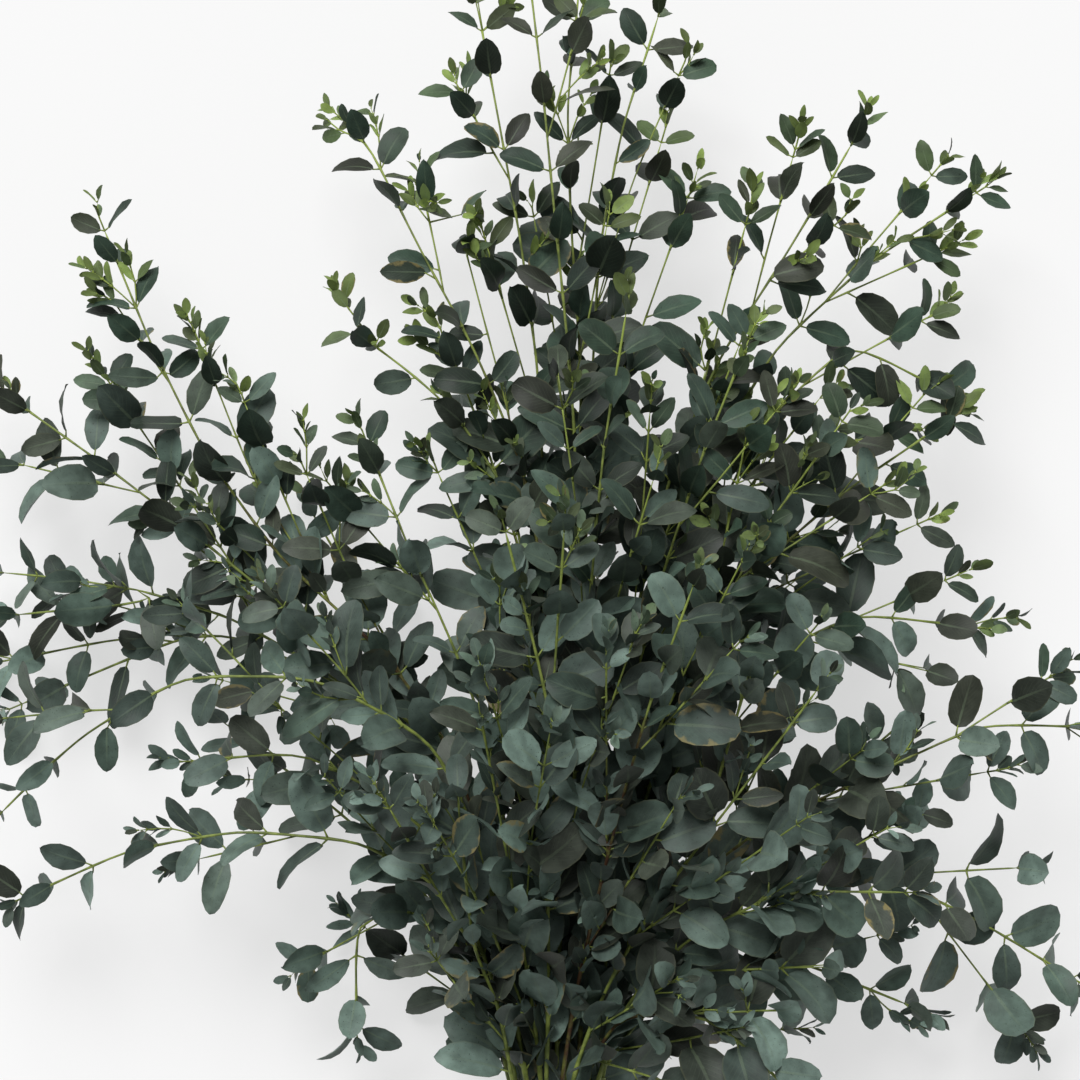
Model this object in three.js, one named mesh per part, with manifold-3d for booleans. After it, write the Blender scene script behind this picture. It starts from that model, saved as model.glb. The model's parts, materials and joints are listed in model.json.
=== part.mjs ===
// A cut bunch of small-leaved eucalyptus, tied near its cut ends and lying on its side.
//
// Each branch is one solid: a woody stem that tapers from its cut end to its tip, the side shoots
// that grow from it, and the opposite pairs of leaves on all of them. The tie round the bare
// stems is the only piece that didn't grow.
//
// Millimetres. The surface is at Z 0, +Y runs from the cut ends to the tips and +Z is up.
import * as THREE from "three";
import { ConvexGeometry } from "three/addons/geometries/ConvexGeometry.js";
import { mergeVertices } from "three/addons/utils/BufferGeometryUtils.js";
import Module from "manifold-3d";

const wasm = await Module();
wasm.setup();

// ---------------------------------------------------------------- driving dimensions
const BUNDLE = { x: 8, y: -75, z: 27 }; // centre of the stems where the tie holds them
const STEM_PITCH = 5.7; // centre to centre of neighbouring stems in the tie
const CUT_BELOW_TIE = 62; // from the tie to the cut ends
const CUT_SPREAD = 1.12; // how far the cut ends open out, over their place in the tie
const CUT_RAGGED = 9; // the cut ends aren't level by this much

const STEM_RADIUS = { butt: 2.5, tip: 0.9 };
const SHOOT_RADIUS = { ofStem: 0.72, tip: 0.7 }; // a shoot's butt is this share of its stem there
const STEM_GAP = 3.5; // least air between two stems above the tie
const RING_PITCH = 76; // between the cross-sections that a stem is drawn through
const TIE = { bore: 0.4, wall: 2.4, width: 9, facets: 20 };

const PAIRS_PER_RING = 2; // pairs of leaves between two of those cross-sections
const BARE_UP_TO = { top: -12, inner: 85 }; // Y below which the stems are stripped
// The shaded middle of the bunch, where stems have kept only some of their pairs.
const SHADE = { middle: [14, 190, 80], reach: [100, 200, 72], kept: 0.2 };

// A leaf's lengths are shares of its own length, and its half widths are shares of its width.
const ROOT_SHARE = 0.3; // it starts this far from its stem's middle, as a share of the stem's radius
const LEAF = { length: 40, slim: 0.46, round: 0.72, thickness: 0.9 };
const OUTLINE = { near: { at: 0.36, half: 0.44 }, far: { at: 0.72, half: 0.43 } };
const SMALL = { under: 0.82, at: 0.52, half: 0.5 }; // small leaves have one corner on each side
const BLADE_FROM = 0.2; // the petiole takes this share of the leaf's length
const LEAF_AIR = 1.1; // half the thickness of the room kept clear for a blade
const STALK_AIR = 0.5; // added round a petiole
const STEM_AIR = 0.5; // and round a stem
const ABOVE_SURFACE = 0.2; // least height of that room

// ---------------------------------------------------------------- the branches
// via: points that the stem passes after the tie. shoots: [share of the stem where it grows, tip].
// top: on the outside of the bunch, so its leaves start just above the tie.
// The branches on top of the bunch come first, so that they get their leaves first.
const BRANCHES = [
  {
    name: "centre_front_branch",
    top: true,
    via: [[6, 40, 85], [4, 170, 160]],
    tip: [14, 330, 214],
    shoots: [[0.5, [-32, 245, 200]], [0.62, [52, 262, 214]], [0.75, [-20, 330, 205]]],
  },
  {
    name: "centre_left_front_branch",
    top: true,
    via: [[-5, 40, 80], [-18, 130, 150]],
    tip: [-36, 234, 200],
    shoots: [[0.55, [-62, 160, 182]], [0.7, [6, 215, 212]]],
  },
  {
    name: "centre_right_front_branch",
    top: true,
    via: [[20, 40, 82], [38, 130, 150], [60, 220, 195]],
    tip: [88, 298, 212],
    shoots: [[0.5, [78, 170, 190]], [0.66, [38, 262, 216]], [0.78, [112, 262, 206]]],
  },
  {
    name: "right_front_branch",
    top: true,
    via: [[30, 30, 78], [66, 105, 135], [118, 180, 182]],
    tip: [160, 238, 200],
    shoots: [[0.45, [78, 62, 130]], [0.6, [150, 160, 190]], [0.74, [120, 246, 202]]],
  },
  {
    name: "right_low_front_branch",
    top: true,
    via: [[38, 20, 70], [70, 66, 105], [118, 112, 140]],
    tip: [214, 118, 165],
    shoots: [[0.5, [104, 30, 118]], [0.65, [168, 72, 138]], [0.8, [196, 152, 168]]],
  },
  {
    name: "low_right_front_branch",
    top: true,
    via: [[30, 10, 72], [54, 48, 106], [92, 48, 124]],
    tip: [152, -8, 108],
    shoots: [[0.6, [70, 2, 112]], [0.78, [140, 44, 122]]],
  },
  {
    name: "low_left_front_branch",
    top: true,
    via: [[-14, 20, 74], [-34, 66, 112]],
    tip: [-88, 168, 170],
    shoots: [[0.5, [-62, 74, 118]], [0.68, [-48, 176, 172]]],
  },
  {
    name: "left_arching_branch",
    top: true,
    via: [[-22, 70, 84], [-40, 170, 132], [-95, 232, 160], [-165, 248, 172], [-230, 238, 160], [-276, 205, 132]],
    tip: [-324, 160, 98],
    shoots: [[0.62, [-150, 286, 176]], [0.72, [-206, 282, 160]], [0.84, [-318, 218, 120]]],
  },
  {
    name: "lower_left_branch",
    top: true,
    via: [[-24, 50, 72], [-56, 120, 112], [-120, 148, 126], [-204, 149, 120], [-264, 132, 100]],
    tip: [-312, 108, 84],
    shoots: [[0.52, [-120, 176, 140]], [0.7, [-206, 132, 96]]],
  },
  {
    name: "left_hanging_branch",
    top: true,
    via: [[-22, 30, 56], [-52, 96, 80], [-92, 122, 92], [-112, 92, 82]],
    tip: [-112, 26, 58],
    shoots: [[0.8, [-142, 66, 60]]],
  },
  {
    name: "left_forked_branch",
    top: true,
    via: [[-20, 60, 62], [-50, 140, 104], [-112, 178, 122], [-152, 204, 122]],
    tip: [-204, 192, 104],
    shoots: [[0.7, [-168, 236, 130]], [0.84, [-176, 180, 96]]],
  },
  {
    name: "upper_front_branch",
    top: true,
    via: [[10, 60, 72], [26, 240, 138], [36, 370, 172]],
    tip: [50, 456, 184],
    shoots: [[0.45, [-10, 270, 172]], [0.6, [66, 360, 186]], [0.75, [10, 420, 186]]],
  },
  {
    name: "upper_right_front_branch",
    top: true,
    via: [[28, 70, 70], [58, 250, 130], [90, 360, 160]],
    tip: [122, 442, 170],
    shoots: [[0.5, [118, 312, 170]], [0.64, [64, 400, 180]], [0.8, [138, 400, 168]]],
  },
  {
    name: "right_inner_branch",
    top: true,
    via: [[36, 70, 66], [84, 230, 118], [132, 330, 146]],
    tip: [178, 394, 156],
    shoots: [[0.5, [160, 270, 150]], [0.68, [120, 380, 160]], [0.8, [196, 352, 146]]],
  },
  {
    name: "right_long_branch",
    top: true,
    via: [[42, 50, 62], [92, 122, 96], [160, 168, 122], [234, 200, 132], [284, 222, 124]],
    tip: [330, 212, 108],
    shoots: [[0.55, [188, 196, 142]], [0.72, [268, 186, 118]], [0.84, [300, 240, 118]]],
  },
  {
    name: "right_lower_branch",
    top: true,
    via: [[40, 30, 52], [84, 84, 74], [144, 122, 92], [204, 128, 98], [248, 104, 88]],
    tip: [326, 56, 56],
    shoots: [[0.62, [232, 150, 108]], [0.72, [290, 126, 84]], [0.82, [292, 28, 54]]],
  },
  {
    name: "right_bottom_branch",
    top: true,
    via: [[36, 10, 48], [80, 54, 68], [130, 76, 76], [180, 58, 66]],
    tip: [224, 40, 52],
    shoots: [[0.62, [148, 26, 62]], [0.76, [206, 84, 70]]],
  },
  {
    name: "right_high_branch",
    via: [[30, 80, 58], [66, 320, 104], [100, 420, 122], [138, 480, 126]],
    tip: [186, 560, 116],
    shoots: [[0.6, [118, 440, 140]], [0.74, [122, 512, 138]], [0.84, [150, 552, 132]], [0.88, [176, 512, 116]]],
  },
  {
    name: "right_far_branch",
    via: [[36, 70, 52], [84, 320, 84], [134, 430, 98], [196, 490, 100]],
    tip: [264, 534, 86],
    shoots: [[0.62, [168, 410, 106]], [0.82, [236, 496, 84]], [0.84, [236, 544, 98]]],
  },
  {
    name: "right_middle_branch",
    via: [[40, 70, 54], [92, 300, 92], [140, 404, 108], [194, 444, 108]],
    tip: [244, 414, 84],
    shoots: [[0.66, [168, 384, 118]], [0.8, [212, 392, 92]], [0.86, [230, 456, 96]]],
  },
  {
    name: "right_middle_low_branch",
    via: [[42, 60, 50], [96, 262, 98], [156, 332, 116], [208, 372, 112]],
    tip: [246, 396, 98],
    shoots: [[0.64, [190, 320, 118]], [0.78, [228, 334, 98]], [0.86, [224, 404, 104]]],
  },
  {
    name: "right_side_branch",
    via: [[44, 50, 50], [76, 180, 84], [126, 250, 112], [186, 280, 116]],
    tip: [258, 272, 92],
    shoots: [[0.6, [150, 220, 122]], [0.8, [244, 300, 100]], [0.84, [232, 246, 94]]],
  },
  {
    name: "top_centre_branch",
    via: [[8, 120, 52], [22, 380, 104], [12, 480, 120], [2, 590, 118]],
    tip: [-8, 676, 100],
    shoots: [[0.7, [40, 512, 122]], [0.84, [24, 636, 110]]],
  },
  {
    name: "top_left_branch",
    via: [[0, 110, 50], [2, 380, 92], [-8, 480, 106], [-22, 560, 106]],
    tip: [-38, 648, 92],
    shoots: [[0.72, [-32, 500, 108]], [0.84, [-48, 594, 96]]],
  },
  {
    name: "top_middle_branch",
    via: [[10, 120, 46], [26, 390, 84], [20, 490, 92], [16, 580, 92]],
    tip: [24, 660, 82],
    shoots: [[0.66, [-4, 520, 90]], [0.8, [42, 606, 88]]],
  },
  {
    name: "top_right_branch",
    via: [[16, 110, 44], [32, 430, 80], [38, 520, 88], [52, 582, 88]],
    tip: [72, 642, 76],
    shoots: [[0.6, [90, 532, 84]], [0.74, [74, 566, 76]], [0.8, [84, 606, 78]]],
  },
  {
    name: "upper_left_branch",
    via: [[-6, 100, 54], [0, 320, 94], [-24, 408, 110], [-60, 474, 112]],
    tip: [-106, 568, 92],
    shoots: [[0.6, [-54, 420, 108]], [0.7, [-50, 518, 108]], [0.84, [-72, 540, 96]]],
  },
  {
    name: "upper_left_low_branch",
    via: [[-10, 90, 50], [-2, 280, 88], [-26, 372, 106], [-66, 418, 104]],
    tip: [-112, 450, 92],
    shoots: [[0.62, [-62, 366, 100]], [0.78, [-58, 446, 104]]],
  },
  {
    name: "inner_left_branch",
    via: [[-16, 80, 50], [-26, 190, 88], [-54, 268, 108], [-84, 330, 106]],
    tip: [-104, 382, 92],
    shoots: [[0.62, [-24, 290, 118]], [0.82, [-124, 354, 88]]],
  },
  {
    name: "left_high_branch",
    via: [[-20, 80, 46], [-46, 190, 76], [-96, 258, 92], [-168, 326, 98], [-220, 410, 92]],
    tip: [-264, 512, 76],
    shoots: [[0.55, [-140, 364, 108]], [0.64, [-178, 408, 98]], [0.72, [-204, 440, 92]], [0.86, [-252, 460, 80]]],
  },
  {
    name: "left_upper_branch",
    via: [[-22, 70, 42], [-40, 166, 64], [-96, 236, 80], [-168, 294, 86], [-240, 352, 80]],
    tip: [-328, 414, 62],
    shoots: [[0.6, [-196, 336, 98]], [0.74, [-262, 420, 70]], [0.84, [-316, 370, 58]]],
  },
  {
    name: "left_middle_branch",
    via: [[-22, 60, 38], [-40, 146, 56], [-84, 206, 68], [-150, 258, 74], [-230, 292, 66]],
    tip: [-330, 304, 46],
    shoots: [[0.5, [-118, 278, 88]], [0.66, [-220, 332, 72]], [0.84, [-322, 278, 40]]],
  },
  {
    name: "left_low_branch",
    via: [[-22, 50, 32], [-66, 176, 46], [-132, 244, 52], [-206, 268, 46]],
    tip: [-326, 250, 26],
    shoots: [[0.6, [-196, 238, 44]], [0.76, [-294, 292, 32]], [0.84, [-322, 222, 22]]],
  },
  {
    name: "under_left_branch",
    via: [[-18, 20, 17], [-80, 116, 13]],
    tip: [-196, 210, 13],
    shoots: [[0.5, [-110, 84, 12]], [0.7, [-130, 214, 16]]],
  },
  {
    name: "under_upper_left_branch",
    via: [[-8, 30, 18], [-46, 170, 14]],
    tip: [-140, 338, 13],
    shoots: [[0.5, [-100, 262, 14]], [0.62, [-30, 300, 18]]],
  },
  {
    name: "under_upper_right_branch",
    via: [[16, 30, 18], [62, 190, 14]],
    tip: [140, 376, 13],
    shoots: [[0.5, [36, 290, 18]], [0.66, [156, 300, 14]]],
  },
  {
    name: "under_right_branch",
    via: [[26, 20, 17], [100, 104, 13]],
    tip: [222, 208, 13],
    shoots: [[0.5, [142, 70, 13]], [0.7, [150, 214, 16]]],
  },
];

// ---------------------------------------------------------------- small tools
const UP = new THREE.Vector3(0, 0, 1);
const vector = (xyz) => new THREE.Vector3(...xyz);
const mix = THREE.MathUtils.lerp;

// The same fixed series of numbers from 0 to 1 on every run.
function series(seed) {
  return () => {
    seed = (seed + 0x6d2b79f5) | 0;
    let t = Math.imul(seed ^ (seed >>> 15), 1 | seed);
    t = (t + Math.imul(t ^ (t >>> 7), 61 | t)) ^ t;
    return ((t ^ (t >>> 14)) >>> 0) / 4294967296;
  };
}

// ---------------------------------------------------------------- clearance between convex shapes
// The room that each stem, petiole and blade takes: a convex shape, held as its corners, its face
// normals and its edge directions.
const taken = [];

function room(kind, branch, corners, normals, edges) {
  const sphere = new THREE.Sphere().setFromPoints(corners);
  return { kind, branch, corners, normals, edges, sphere };
}

function apartAlong(axis, a, b) {
  if (axis.lengthSq() < 1e-6) return false;
  const reach = (corners) => {
    const along = corners.map((corner) => corner.dot(axis));
    return [Math.min(...along), Math.max(...along)];
  };
  const [aLow, aHigh] = reach(a.corners);
  const [bLow, bHigh] = reach(b.corners);
  return aHigh < bLow || bHigh < aLow;
}

function meet(a, b) {
  if (!a.sphere.intersectsSphere(b.sphere)) return false;
  for (const normal of [...a.normals, ...b.normals]) if (apartAlong(normal, a, b)) return false;
  for (const edge of a.edges)
    for (const other of b.edges) if (apartAlong(edge.clone().cross(other), a, b)) return false;
  return true;
}

const isFree = (wanted, ignored = () => false) =>
  taken.every((other) => ignored(other) || !meet(wanted, other));

// The room of a square bar from one point to another.
function barRoom(kind, branch, from, to, halfWidth) {
  const along = to.clone().sub(from).normalize();
  const side = along.clone().cross(Math.abs(along.z) < 0.9 ? UP : new THREE.Vector3(1, 0, 0)).normalize();
  const across = along.clone().cross(side);
  const corners = [];
  for (const end of [from, to])
    for (const s of [-halfWidth, halfWidth])
      for (const a of [-halfWidth, halfWidth])
        corners.push(end.clone().addScaledVector(side, s).addScaledVector(across, a));
  return room(kind, branch, corners, [along, side, across], [along, side, across]);
}

// ---------------------------------------------------------------- stems
// A smooth route whose cross-sections are drawn at its own points.
class Route extends THREE.CatmullRomCurve3 {
  constructor(points) {
    super(points, false, "centripetal");
  }
  getPointAt(t, target) {
    return this.getPoint(t, target);
  }
  getTangentAt(t, target) {
    return this.getTangent(t, target);
  }
}

// The places of the stems in the tie: a hexagonal packing, the middle ones first.
function tiePlaces(count) {
  const places = [];
  for (let row = -5; row <= 5; row++)
    for (let column = -5; column <= 5; column++) {
      const x = (column + (row % 2 ? 0.5 : 0)) * STEM_PITCH;
      places.push(new THREE.Vector2(x, row * STEM_PITCH * Math.sqrt(0.75)));
    }
  return places.sort((a, b) => a.length() - b.length()).slice(0, count);
}

// Gives each branch the place on its own side of the bundle, so that stems fan out uncrossed.
function placeInTie(branches) {
  const free = tiePlaces(branches.length);
  const reach = free.at(-1).length();
  const wanted = branches.map(({ via, tip }) => {
    const away = vector(via[0]).lerp(vector(via[1] ?? tip), 0.6);
    return new THREE.Vector2((away.x - BUNDLE.x) / 60, (away.z - 50) / 60).multiplyScalar(reach);
  });
  const order = free.map((_, i) => i);
  const cost = (i, j) => wanted[i].distanceToSquared(free[order[j]]);
  for (let swapped = true; swapped; ) {
    swapped = false;
    for (let i = 0; i < order.length; i++)
      for (let j = i + 1; j < order.length; j++)
        if (cost(i, j) + cost(j, i) < cost(i, i) + cost(j, j) - 1e-9) {
          [order[i], order[j]] = [order[j], order[i]];
          swapped = true;
        }
  }
  return order.map((i) => free[i]);
}

// The points that a stem's cross-sections stand at, from its cut end to its tip.
function stemPoints(branch, place, random) {
  const cut = new THREE.Vector3(
    BUNDLE.x + place.x * CUT_SPREAD,
    BUNDLE.y - CUT_BELOW_TIE - CUT_RAGGED * random(),
    BUNDLE.z + place.y * CUT_SPREAD,
  );
  const [below, above] = [-12, 12].map(
    (dy) => new THREE.Vector3(BUNDLE.x + place.x, BUNDLE.y + dy, BUNDLE.z + place.y),
  );
  const free = new THREE.CatmullRomCurve3([below, above, ...branch.via.map(vector), vector(branch.tip)]);
  free.curveType = "centripetal";
  const spaced = free.getSpacedPoints(Math.round(free.getLength() / RING_PITCH));
  return [cut, below, above, ...spaced.slice(1)];
}

// The closest points of two straight lines, each from its start to its end.
function closestShares(p, p2, q, q2) {
  const [a, b, r] = [p2.clone().sub(p), q2.clone().sub(q), p.clone().sub(q)];
  const [aa, bb, ab, ar, br] = [a.dot(a), b.dot(b), a.dot(b), a.dot(r), b.dot(r)];
  const level = aa * bb - ab * ab;
  let s = level > 1e-9 ? THREE.MathUtils.clamp((ab * br - ar * bb) / level, 0, 1) : 0.5;
  const t = THREE.MathUtils.clamp((ab * s + br) / bb, 0, 1);
  s = THREE.MathUtils.clamp((ab * t - ar) / aa, 0, 1);
  return [s, t];
}

// Moves stems apart until they keep STEM_GAP. Their tied ends and their tips stay, and just above the
// tie they only have to pass each other.
function spreadStems(stems) {
  const lines = stems.flatMap((points, stem) =>
    points.slice(2, -1).map((from, i) => ({ stem, from, to: points[i + 3], first: i === 0 })),
  );
  for (let round = 0; round < 80; round++)
    lines.forEach((a, i) =>
      lines.slice(i + 1).forEach((b) => {
        if (a.stem === b.stem) return;
        if (a.from.distanceToSquared(b.from) > (2.5 * RING_PITCH) ** 2) return;
        const [s, t] = closestShares(a.from, a.to, b.from, b.to);
        const push = a.from.clone().lerp(a.to, s).sub(b.from.clone().lerp(b.to, t));
        const gap = push.length();
        const bothTied = a.first && b.first;
        const wanted = bothTied ? STEM_PITCH - 0.3 : 2 * STEM_RADIUS.butt + STEM_GAP;
        if (gap > wanted) return;
        push.multiplyScalar(((bothTied ? 1 : 0.25) * (wanted - gap)) / (gap + 0.01));
        if (!a.first) a.from.addScaledVector(push, 1 - s);
        if (!b.first) b.from.addScaledVector(push, t - 1);
        a.to.addScaledVector(push, s);
        b.to.addScaledVector(push, -t);
      }),
    );
}

const radiusAt = (radius, share) => mix(radius.butt, radius.tip, share);

// A three-sided tapering stem through the points.
function stemThrough(points, radius, branch) {
  const route = new Route(points);
  const steps = points.length - 1;
  const turns = [60, 180, 300].map(THREE.MathUtils.degToRad);
  const section = new THREE.Shape(turns.map((turn) => new THREE.Vector2(Math.cos(turn), Math.sin(turn))));
  const geometry = new THREE.ExtrudeGeometry(section, { steps, extrudePath: route, bevelEnabled: false });
  const position = geometry.getAttribute("position");
  const corner = new THREE.Vector3();
  for (let i = 0; i < position.count; i++) {
    corner.fromBufferAttribute(position, i);
    const distances = points.map((point) => point.distanceTo(corner));
    const ring = distances.indexOf(Math.min(...distances));
    corner.sub(points[ring]).multiplyScalar(radiusAt(radius, ring / steps)).add(points[ring]);
    position.setXYZ(i, corner.x, corner.y, corner.z);
  }
  const rooms = points.slice(1).map((to, i) => {
    const halfWidth = 0.8 * radiusAt(radius, i / steps) + STEM_AIR;
    return barRoom("stem", branch, points[i], to, halfWidth);
  });
  const frames = route.computeFrenetFrames(steps, false);
  return { branch, geometry, points, radius, rooms, frames, bareUpTo: BARE_UP_TO.top };
}

// A side shoot leaves its stem forwards and bends to its tip. Its tip moves a little if the way is
// taken, and the shoot is left out if no way is free.
function growShoot(stem, [share, tip], random) {
  const last = stem.points.length - 1;
  const ring = Math.min(Math.floor(share * last), last - 1);
  const start = stem.points[ring].clone().lerp(stem.points[ring + 1], 0.5);
  const forward = stem.points[ring + 1].clone().sub(start).normalize();
  for (let attempt = 0; attempt < 24; attempt++) {
    const wobble = vector([random() - 0.5, random() - 0.5, random() - 0.5]).multiplyScalar(attempt * 5);
    const end = vector(tip).add(wobble);
    end.z = Math.max(end.z, 8);
    const turn = start.clone().addScaledVector(forward, 0.25 * end.distanceTo(start));
    const route = new THREE.QuadraticBezierCurve3(start, turn, end);
    const steps = Math.max(1, Math.round((0.8 * route.getLength()) / RING_PITCH));
    const radius = { butt: SHOOT_RADIUS.ofStem * radiusAt(stem.radius, share), tip: SHOOT_RADIUS.tip };
    const shoot = stemThrough(route.getSpacedPoints(steps), radius, stem.branch);
    const ownStem = (other) => other.kind === "stem" && other.branch === stem.branch;
    if (shoot.rooms.every((bar, i) => isFree(bar, i ? undefined : ownStem))) return shoot;
  }
  return null;
}

// ---------------------------------------------------------------- leaves
const sideCorners = (length) => (length < SMALL.under * LEAF.length ? [SMALL] : [OUTLINE.near, OUTLINE.far]);

// A leaf along +Y: a low ridge from its base to its tip over a flat bottom.
function leafGeometry(length, width) {
  const corners = [new THREE.Vector3(0, 0, 0), new THREE.Vector3(0, length, 0)];
  for (const { at, half } of sideCorners(length))
    for (const side of [-1, 1])
      corners.push(new THREE.Vector3(side * half * width, at * length, -LEAF.thickness));
  return new ConvexGeometry(corners);
}

// The room that a blade needs: a flat prism round its outline.
function bladeRoom(branch, pose, length, width) {
  const sides = sideCorners(length);
  const start = { at: BLADE_FROM, half: (sides[0].half * BLADE_FROM) / sides[0].at };
  const right = [start, ...sides];
  const left = right.map(({ at, half }) => ({ at, half: -half })).reverse();
  const outline = [...right, { at: 1, half: 0 }, ...left];
  const count = outline.length;
  const corners = [-LEAF_AIR, LEAF_AIR].flatMap((z) =>
    outline.map(({ at, half }) => new THREE.Vector3(half * width, at * length, z).applyMatrix4(pose)),
  );
  const edges = outline.map((_, i) => corners[(i + 1) % count].clone().sub(corners[i]).normalize());
  const normal = new THREE.Vector3().setFromMatrixColumn(pose, 2);
  const normals = [normal, ...edges.map((edge) => edge.clone().cross(normal))];
  return room("blade", branch, corners, normals, [...edges, normal]);
}

// Where a leaf stands: away from its stem at an angle, its face turned partly up to the light.
function leafPose(base, along, outward, splay, facing, twist) {
  const direction = along.clone().multiplyScalar(Math.cos(splay)).addScaledVector(outward, Math.sin(splay));
  const inner = along.clone().multiplyScalar(Math.sin(splay)).addScaledVector(outward, -Math.cos(splay));
  const toLight = UP.clone().addScaledVector(direction, -UP.dot(direction)).normalize();
  const normal = inner.lerp(toLight, facing).addScaledVector(direction, -inner.dot(direction)).normalize();
  normal.applyAxisAngle(direction, twist);
  const side = direction.clone().cross(normal);
  return new THREE.Matrix4().makeBasis(side, direction, normal).setPosition(base);
}

function growLeaf(branch, base, along, outward, size, random) {
  const slimness = mix(LEAF.slim, LEAF.round, random());
  const splay = mix(0.75, 1.15, random());
  const facing = mix(0.35, 0.95, random());
  const ownStalks = (other) => other.branch === branch && other.kind !== "blade";
  for (let attempt = 0; attempt < 9; attempt++) {
    const length = LEAF.length * size * (attempt > 5 ? 0.75 : 1);
    const width = length * slimness;
    const turn = (random() - 0.5) * (0.5 + 0.35 * attempt);
    const tilt = splay + (random() - 0.5) * 0.14 * attempt;
    const pose = leafPose(base, along, outward, tilt, facing, turn);
    const blade = bladeRoom(branch, pose, length, width);
    if (blade.corners.some((corner) => corner.z < ABOVE_SURFACE) || !isFree(blade)) continue;
    const stalkEnd = new THREE.Vector3(0, 1.2 * BLADE_FROM * length, 0).applyMatrix4(pose);
    const stalk = barRoom("stalk", branch, base, stalkEnd, STALK_AIR + 0.02 * length);
    if (!isFree(stalk, ownStalks)) continue;
    taken.push(blade, stalk);
    return leafGeometry(length, width).applyMatrix4(pose);
  }
  return null;
}

function inShade(point) {
  const [x, y, z] = ["x", "y", "z"].map((k, i) => (point[k] - SHADE.middle[i]) / SHADE.reach[i]);
  return x * x + y * y + z * z < 1;
}

// Opposite pairs along a stem, each pair a quarter turn from the last.
function growPairs(stem, sizes, random) {
  const leaves = [];
  const { branch, points, frames } = stem;
  const count = (points.length - 1) * PAIRS_PER_RING;
  for (let pair = 0; pair <= count; pair++) {
    const share = (pair + (pair < count ? 0.5 : -0.04)) / PAIRS_PER_RING;
    const ring = Math.min(Math.floor(share), points.length - 2);
    const base = points[ring].clone().lerp(points[ring + 1], share - ring);
    if (base.y < stem.bareUpTo || (inShade(base) && random() > SHADE.kept)) continue;
    const along = points[ring + 1].clone().sub(points[ring]).normalize();
    const side = (pair % 2 ? frames.normals : frames.binormals)[ring].clone();
    side.addScaledVector(along, -side.dot(along)).normalize();
    side.applyAxisAngle(along, (random() - 0.5) * 0.5);
    const inStem = ROOT_SHARE * radiusAt(stem.radius, share / (points.length - 1));
    const size = mix(sizes.low, sizes.high, (pair / count) ** 2.5) * mix(0.85, 1.15, random());
    for (const sign of [1, -1]) {
      const outward = side.clone().multiplyScalar(sign);
      const root = base.clone().addScaledVector(outward, inStem);
      const leaf = growLeaf(branch, root, along, outward, size, random);
      if (leaf) leaves.push(leaf);
    }
  }
  return leaves;
}

// ---------------------------------------------------------------- solids
function solidOf(geometry) {
  geometry.deleteAttribute("normal");
  geometry.deleteAttribute("uv");
  const merged = mergeVertices(geometry);
  return new wasm.Manifold(
    new wasm.Mesh({
      numProp: 3,
      vertProperties: merged.getAttribute("position").array,
      triVerts: new Uint32Array(merged.index.array),
    }),
  );
}

function geometryOf(solid) {
  const mesh = solid.getMesh();
  return new THREE.BufferGeometry()
    .setAttribute("position", new THREE.BufferAttribute(mesh.vertProperties, 3))
    .setIndex(new THREE.BufferAttribute(mesh.triVerts, 1));
}

function namedMesh(name, geometry, material) {
  const mesh = new THREE.Mesh(geometry, material);
  mesh.name = name;
  return mesh;
}

// ---------------------------------------------------------------- the bunch
const leafGreen = new THREE.MeshStandardMaterial({ color: 0x4d6657, roughness: 0.62, metalness: 0 });
const rubber = new THREE.MeshStandardMaterial({ color: 0xb98a5a, roughness: 0.7, metalness: 0 });

const random = series(17);
const places = placeInTie(BRANCHES);
const routes = BRANCHES.map((branch, i) => stemPoints(branch, places[i], random));
spreadStems(routes);

const stems = routes.map((points, i) => stemThrough(points, STEM_RADIUS, i));
stems.forEach((stem, i) => (stem.bareUpTo = BRANCHES[i].top ? BARE_UP_TO.top : BARE_UP_TO.inner));
for (const stem of stems) taken.push(...stem.rooms);
const shoots = stems.map((stem, i) => {
  const grown = [];
  for (const shoot of BRANCHES[i].shoots) {
    const one = growShoot(stem, shoot, random);
    if (!one) continue;
    taken.push(...one.rooms);
    grown.push(one);
  }
  return grown;
});

const bunch = new THREE.Group();
BRANCHES.forEach(({ name }, i) => {
  const leaves = growPairs(stems[i], { low: 1, high: 0.6 }, random);
  for (const shoot of shoots[i]) leaves.push(...growPairs(shoot, { low: 0.9, high: 0.55 }, random));
  const grown = [stems[i].geometry, ...shoots[i].map((shoot) => shoot.geometry), ...leaves];
  const branch = wasm.Manifold.union(grown.map(solidOf));
  bunch.add(namedMesh(name, geometryOf(branch), leafGreen));
});

// The tie: a plain ring round the bundle.
const bundleRadius = Math.max(...places.map((place) => place.length())) + STEM_RADIUS.butt;
const inner = bundleRadius + TIE.bore;
const tieProfile = [
  [inner, -0.5],
  [inner + TIE.wall, -0.5],
  [inner + TIE.wall, 0.5],
  [inner, 0.5],
  [inner, -0.5],
].map(([radius, share]) => new THREE.Vector2(radius, share * TIE.width));
const tie = namedMesh("tie_band", new THREE.LatheGeometry(tieProfile, TIE.facets), rubber);
tie.position.set(BUNDLE.x, BUNDLE.y, BUNDLE.z);
bunch.add(tie);

// The origin is under the middle of the bunch, on the surface.
const box = new THREE.Box3().setFromObject(bunch, true);
const middle = box.getCenter(new THREE.Vector3());
bunch.position.set(-middle.x, -middle.y, -box.min.z);

export default bunch;
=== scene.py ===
"""A bunch of eucalyptus branches, laid down and held by a rubber band.

Each CAD branch gives the routes of its stems and the place, size and turn of its leaves. This file
reads them from the branch's mesh and grows the looks on them: round tapering stems with knots and
leaf stalks, curved two-sided leaves with ribs and veins, and small side shoots.
"""

import json
import math
import random
from math import radians
from types import SimpleNamespace as Record

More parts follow.
